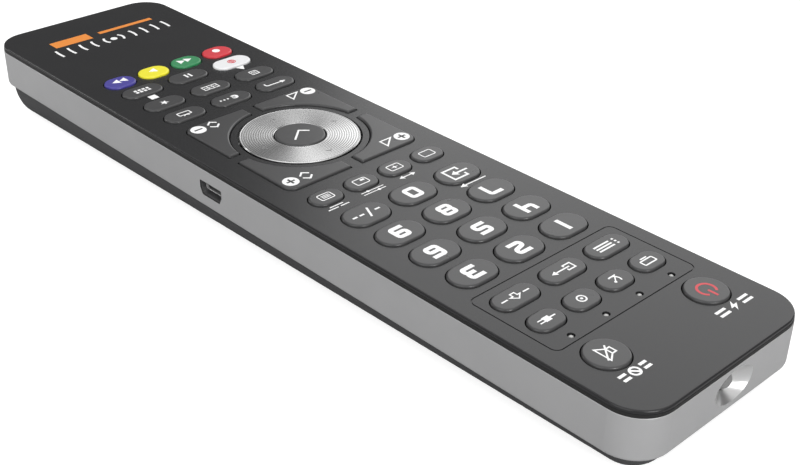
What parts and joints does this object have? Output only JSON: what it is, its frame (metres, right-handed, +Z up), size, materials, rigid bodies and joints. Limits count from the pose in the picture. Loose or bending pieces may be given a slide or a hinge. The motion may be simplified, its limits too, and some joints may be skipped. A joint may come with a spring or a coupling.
{
  "type": "universal remote control",
  "caption": "Slim handheld universal remote control with slot-shaped keys, a silver rocking ring round a select key, a silver side band and a sliding battery cover.",
  "frame": {"origin": "middle of the base: the handset stands flat on its underside", "axes": "+Y towards the infrared end, +Z up through the keys, +X to the right when the keys are read"},
  "size_m": [0.048, 0.2074, 0.0196],
  "materials": {
    "deck": "satin",
    "band": "satin silver paint",
    "shell": "fine matt",
    "cover": "fine matt",
    "dark_keys": "satin",
    "white_key": "satin",
    "red_key": "satin",
    "green_key": "satin",
    "yellow_key": "satin",
    "blue_key": "satin",
    "silver_ring": "fine turned grooves",
    "collar": "sprung sheet",
    "mat": "matt",
    "board": "satin",
    "chip": "matt",
    "lens": "clear and glossy",
    "socket": "satin",
    "screw": "satin",
    "cell": "satin sleeve",
    "contact": "satin"
  },
  "bodies": {
    "housing": {"top_deck": "deck", "side_band": "band", "bottom_shell": "shell", "key_mat": "mat", "circuit_board": "board", "controller_chip": "chip", "infrared_emitter": "lens", "indicator_lights": "lens", "charging_socket": "socket", "cells": "cell", "cell_springs": "contact", "cell_contacts": "contact", "screws": "screw"},
    "power_key_body": {"power_key": "dark_keys"},
    "mute_key_body": {"mute_key": "dark_keys"},
    "device_key_1_body": {"device_key_1": "dark_keys"},
    "device_key_2_body": {"device_key_2": "dark_keys"},
    "device_key_3_body": {"device_key_3": "dark_keys"},
    "device_key_4_body": {"device_key_4": "dark_keys"},
    "mode_key_1_body": {"mode_key_1": "dark_keys"},
    "mode_key_2_body": {"mode_key_2": "dark_keys"},
    "mode_key_3_body": {"mode_key_3": "dark_keys"},
    "digit_key_1_body": {"digit_key_1": "dark_keys"},
    "digit_key_2_body": {"digit_key_2": "dark_keys"},
    "digit_key_3_body": {"digit_key_3": "dark_keys"},
    "digit_key_4_body": {"digit_key_4": "dark_keys"},
    "digit_key_5_body": {"digit_key_5": "dark_keys"},
    "digit_key_6_body": {"digit_key_6": "dark_keys"},
    "digit_key_7_body": {"digit_key_7": "dark_keys"},
    "digit_key_8_body": {"digit_key_8": "dark_keys"},
    "digit_key_9_body": {"digit_key_9": "dark_keys"},
    "source_key_body": {"source_key": "dark_keys"},
    "digit_key_0_body": {"digit_key_0": "dark_keys"},
    "long_number_key_body": {"long_number_key": "dark_keys"},
    "small_key_1_body": {"small_key_1": "dark_keys"},
    "small_key_2_body": {"small_key_2": "dark_keys"},
    "small_key_3_body": {"small_key_3": "dark_keys"},
    "small_key_4_body": {"small_key_4": "dark_keys"},
    "function_key_1_body": {"function_key_1": "dark_keys"},
    "function_key_2_body": {"function_key_2": "dark_keys"},
    "function_key_3_body": {"function_key_3": "dark_keys"},
    "function_key_4_body": {"function_key_4": "dark_keys"},
    "function_key_5_body": {"function_key_5": "dark_keys"},
    "function_key_6_body": {"function_key_6": "dark_keys"},
    "function_key_7_body": {"function_key_7": "white_key"},
    "function_key_8_body": {"function_key_8": "dark_keys"},
    "function_key_9_body": {"function_key_9": "dark_keys"},
    "red_key_body": {"red_key": "red_key"},
    "green_key_body": {"green_key": "green_key"},
    "yellow_key_body": {"yellow_key": "yellow_key"},
    "blue_key_body": {"blue_key": "blue_key"},
    "channel_up_key_body": {"channel_up_key": "dark_keys"},
    "volume_up_key_body": {"volume_up_key": "dark_keys"},
    "volume_down_key_body": {"volume_down_key": "dark_keys"},
    "channel_down_key_body": {"channel_down_key": "dark_keys"},
    "select_key_body": {"select_key": "dark_keys"},
    "ring_collar_body": {"ring_collar": "collar"},
    "select_ring_body": {"select_ring": "silver_ring"},
    "battery_cover_body": {"battery_cover": "cover"}
  },
  "joints": [
    {"name": "power_key_press", "type": "slide", "parent": "housing", "child": "power_key_body", "axis": [0, -0.0243, -0.9997], "range_m": [0, 0.0006], "stiffness_N_per_m": 400, "springref_m": -0.0005},
    {"name": "mute_key_press", "type": "slide", "parent": "housing", "child": "mute_key_body", "axis": [0, -0.0243, -0.9997], "range_m": [0, 0.0006], "stiffness_N_per_m": 400, "springref_m": -0.0005},
    {"name": "device_key_1_press", "type": "slide", "parent": "housing", "child": "device_key_1_body", "axis": [0, -0.0243, -0.9997], "range_m": [0, 0.0006], "stiffness_N_per_m": 400, "springref_m": -0.0005},
    {"name": "device_key_2_press", "type": "slide", "parent": "housing", "child": "device_key_2_body", "axis": [0, -0.0243, -0.9997], "range_m": [0, 0.0006], "stiffness_N_per_m": 400, "springref_m": -0.0005},
    {"name": "device_key_3_press", "type": "slide", "parent": "housing", "child": "device_key_3_body", "axis": [0, -0.0243, -0.9997], "range_m": [0, 0.0006], "stiffness_N_per_m": 400, "springref_m": -0.0005},
    {"name": "device_key_4_press", "type": "slide", "parent": "housing", "child": "device_key_4_body", "axis": [0, -0.0243, -0.9997], "range_m": [0, 0.0006], "stiffness_N_per_m": 400, "springref_m": -0.0005},
    {"name": "mode_key_1_press", "type": "slide", "parent": "housing", "child": "mode_key_1_body", "axis": [0, -0.0243, -0.9997], "range_m": [0, 0.0006], "stiffness_N_per_m": 400, "springref_m": -0.0005},
    {"name": "mode_key_2_press", "type": "slide", "parent": "housing", "child": "mode_key_2_body", "axis": [0, -0.0243, -0.9997], "range_m": [0, 0.0006], "stiffness_N_per_m": 400, "springref_m": -0.0005},
    {"name": "mode_key_3_press", "type": "slide", "parent": "housing", "child": "mode_key_3_body", "axis": [0, -0.0243, -0.9997], "range_m": [0, 0.0006], "stiffness_N_per_m": 400, "springref_m": -0.0005},
    {"name": "digit_key_1_press", "type": "slide", "parent": "housing", "child": "digit_key_1_body", "axis": [0, -0.0243, -0.9997], "range_m": [0, 0.0006], "stiffness_N_per_m": 400, "springref_m": -0.0005},
    {"name": "digit_key_2_press", "type": "slide", "parent": "housing", "child": "digit_key_2_body", "axis": [0, -0.0243, -0.9997], "range_m": [0, 0.0006], "stiffness_N_per_m": 400, "springref_m": -0.0005},
    {"name": "digit_key_3_press", "type": "slide", "parent": "housing", "child": "digit_key_3_body", "axis": [0, -0.0243, -0.9997], "range_m": [0, 0.0006], "stiffness_N_per_m": 400, "springref_m": -0.0005},
    {"name": "digit_key_4_press", "type": "slide", "parent": "housing", "child": "digit_key_4_body", "axis": [0, -0.0243, -0.9997], "range_m": [0, 0.0006], "stiffness_N_per_m": 400, "springref_m": -0.0005},
    {"name": "digit_key_5_press", "type": "slide", "parent": "housing", "child": "digit_key_5_body", "axis": [0, -0.0243, -0.9997], "range_m": [0, 0.0006], "stiffness_N_per_m": 400, "springref_m": -0.0005},
    {"name": "digit_key_6_press", "type": "slide", "parent": "housing", "child": "digit_key_6_body", "axis": [0, -0.0243, -0.9997], "range_m": [0, 0.0006], "stiffness_N_per_m": 400, "springref_m": -0.0005},
    {"name": "digit_key_7_press", "type": "slide", "parent": "housing", "child": "digit_key_7_body", "axis": [0, -0.0243, -0.9997], "range_m": [0, 0.0006], "stiffness_N_per_m": 400, "springref_m": -0.0005},
    {"name": "digit_key_8_press", "type": "slide", "parent": "housing", "child": "digit_key_8_body", "axis": [0, -0.0243, -0.9997], "range_m": [0, 0.0006], "stiffness_N_per_m": 400, "springref_m": -0.0005},
    {"name": "digit_key_9_press", "type": "slide", "parent": "housing", "child": "digit_key_9_body", "axis": [0, -0.0243, -0.9997], "range_m": [0, 0.0006], "stiffness_N_per_m": 400, "springref_m": -0.0005},
    {"name": "source_key_press", "type": "slide", "parent": "housing", "child": "source_key_body", "axis": [0, -0.0243, -0.9997], "range_m": [0, 0.0006], "stiffness_N_per_m": 400, "springref_m": -0.0005},
    {"name": "digit_key_0_press", "type": "slide", "parent": "housing", "child": "digit_key_0_body", "axis": [0, -0.0243, -0.9997], "range_m": [0, 0.0006], "stiffness_N_per_m": 400, "springref_m": -0.0005},
    {"name": "long_number_key_press", "type": "slide", "parent": "housing", "child": "long_number_key_body", "axis": [0, -0.0243, -0.9997], "range_m": [0, 0.0006], "stiffness_N_per_m": 400, "springref_m": -0.0005},
    {"name": "small_key_1_press", "type": "slide", "parent": "housing", "child": "small_key_1_body", "axis": [0, -0.0243, -0.9997], "range_m": [0, 0.0006], "stiffness_N_per_m": 400, "springref_m": -0.0005},
    {"name": "small_key_2_press", "type": "slide", "parent": "housing", "child": "small_key_2_body", "axis": [0, -0.0243, -0.9997], "range_m": [0, 0.0006], "stiffness_N_per_m": 400, "springref_m": -0.0005},
    {"name": "small_key_3_press", "type": "slide", "parent": "housing", "child": "small_key_3_body", "axis": [0, -0.0243, -0.9997], "range_m": [0, 0.0006], "stiffness_N_per_m": 400, "springref_m": -0.0005},
    {"name": "small_key_4_press", "type": "slide", "parent": "housing", "child": "small_key_4_body", "axis": [0, -0.0243, -0.9997], "range_m": [0, 0.0006], "stiffness_N_per_m": 400, "springref_m": -0.0005},
    {"name": "function_key_1_press", "type": "slide", "parent": "housing", "child": "function_key_1_body", "axis": [0, -0.0243, -0.9997], "range_m": [0, 0.0006], "stiffness_N_per_m": 400, "springref_m": -0.0005},
    {"name": "function_key_2_press", "type": "slide", "parent": "housing", "child": "function_key_2_body", "axis": [0, -0.0243, -0.9997], "range_m": [0, 0.0006], "stiffness_N_per_m": 400, "springref_m": -0.0005},
    {"name": "function_key_3_press", "type": "slide", "parent": "housing", "child": "function_key_3_body", "axis": [0, -0.0243, -0.9997], "range_m": [0, 0.0006], "stiffness_N_per_m": 400, "springref_m": -0.0005},
    {"name": "function_key_4_press", "type": "slide", "parent": "housing", "child": "function_key_4_body", "axis": [0, -0.0243, -0.9997], "range_m": [0, 0.0006], "stiffness_N_per_m": 400, "springref_m": -0.0005},
    {"name": "function_key_5_press", "type": "slide", "parent": "housing", "child": "function_key_5_body", "axis": [0, -0.0243, -0.9997], "range_m": [0, 0.0006], "stiffness_N_per_m": 400, "springref_m": -0.0005},
    {"name": "function_key_6_press", "type": "slide", "parent": "housing", "child": "function_key_6_body", "axis": [0, -0.0243, -0.9997], "range_m": [0, 0.0006], "stiffness_N_per_m": 400, "springref_m": -0.0005},
    {"name": "function_key_7_press", "type": "slide", "parent": "housing", "child": "function_key_7_body", "axis": [0, -0.0243, -0.9997], "range_m": [0, 0.0006], "stiffness_N_per_m": 400, "springref_m": -0.0005},
    {"name": "function_key_8_press", "type": "slide", "parent": "housing", "child": "function_key_8_body", "axis": [0, -0.0243, -0.9997], "range_m": [0, 0.0006], "stiffness_N_per_m": 400, "springref_m": -0.0005},
    {"name": "function_key_9_press", "type": "slide", "parent": "housing", "child": "function_key_9_body", "axis": [0, -0.0243, -0.9997], "range_m": [0, 0.0006], "stiffness_N_per_m": 400, "springref_m": -0.0005},
    {"name": "red_key_press", "type": "slide", "parent": "housing", "child": "red_key_body", "axis": [0, -0.0243, -0.9997], "range_m": [0, 0.0006], "stiffness_N_per_m": 400, "springref_m": -0.0005},
    {"name": "green_key_press", "type": "slide", "parent": "housing", "child": "green_key_body", "axis": [0, -0.0243, -0.9997], "range_m": [0, 0.0006], "stiffness_N_per_m": 400, "springref_m": -0.0005},
    {"name": "yellow_key_press", "type": "slide", "parent": "housing", "child": "yellow_key_body", "axis": [0, -0.0243, -0.9997], "range_m": [0, 0.0006], "stiffness_N_per_m": 400, "springref_m": -0.0005},
    {"name": "blue_key_press", "type": "slide", "parent": "housing", "child": "blue_key_body", "axis": [0, -0.0243, -0.9997], "range_m": [0, 0.0006], "stiffness_N_per_m": 400, "springref_m": -0.0005},
    {"name": "channel_up_key_press", "type": "slide", "parent": "housing", "child": "channel_up_key_body", "axis": [0, -0.0243, -0.9997], "range_m": [0, 0.0006], "stiffness_N_per_m": 400, "springref_m": -0.0005},
    {"name": "volume_up_key_press", "type": "slide", "parent": "housing", "child": "volume_up_key_body", "axis": [0, -0.0243, -0.9997], "range_m": [0, 0.0006], "stiffness_N_per_m": 400, "springref_m": -0.0005},
    {"name": "volume_down_key_press", "type": "slide", "parent": "housing", "child": "volume_down_key_body", "axis": [0, -0.0243, -0.9997], "range_m": [0, 0.0006], "stiffness_N_per_m": 400, "springref_m": -0.0005},
    {"name": "channel_down_key_press", "type": "slide", "parent": "housing", "child": "channel_down_key_body", "axis": [0, -0.0243, -0.9997], "range_m": [0, 0.0006], "stiffness_N_per_m": 400, "springref_m": -0.0005},
    {"name": "select_key_press", "type": "slide", "parent": "housing", "child": "select_key_body", "axis": [0, -0.0243, -0.9997], "range_m": [0, 0.0006], "stiffness_N_per_m": 400, "springref_m": -0.0005},
    {"name": "ring_rock_left_right", "type": "hinge", "parent": "housing", "child": "ring_collar_body", "pos_m": [0, -0.00902, 0.01393], "axis": [0, 0.9997, -0.0243], "range_deg": [-1.2, 1.2], "stiffness_Nm_per_rad": 0.05},
    {"name": "ring_rock_up_down", "type": "hinge", "parent": "ring_collar_body", "child": "select_ring_body", "pos_m": [0, -0.00902, 0.01393], "axis": [1, 0, 0], "range_deg": [-1.2, 1.2], "stiffness_Nm_per_rad": 0.05},
    {"name": "battery_cover_slide", "type": "slide", "parent": "housing", "child": "battery_cover_body", "axis": [0, -1, 0], "range_m": [0, 0.0571]}
  ]
}
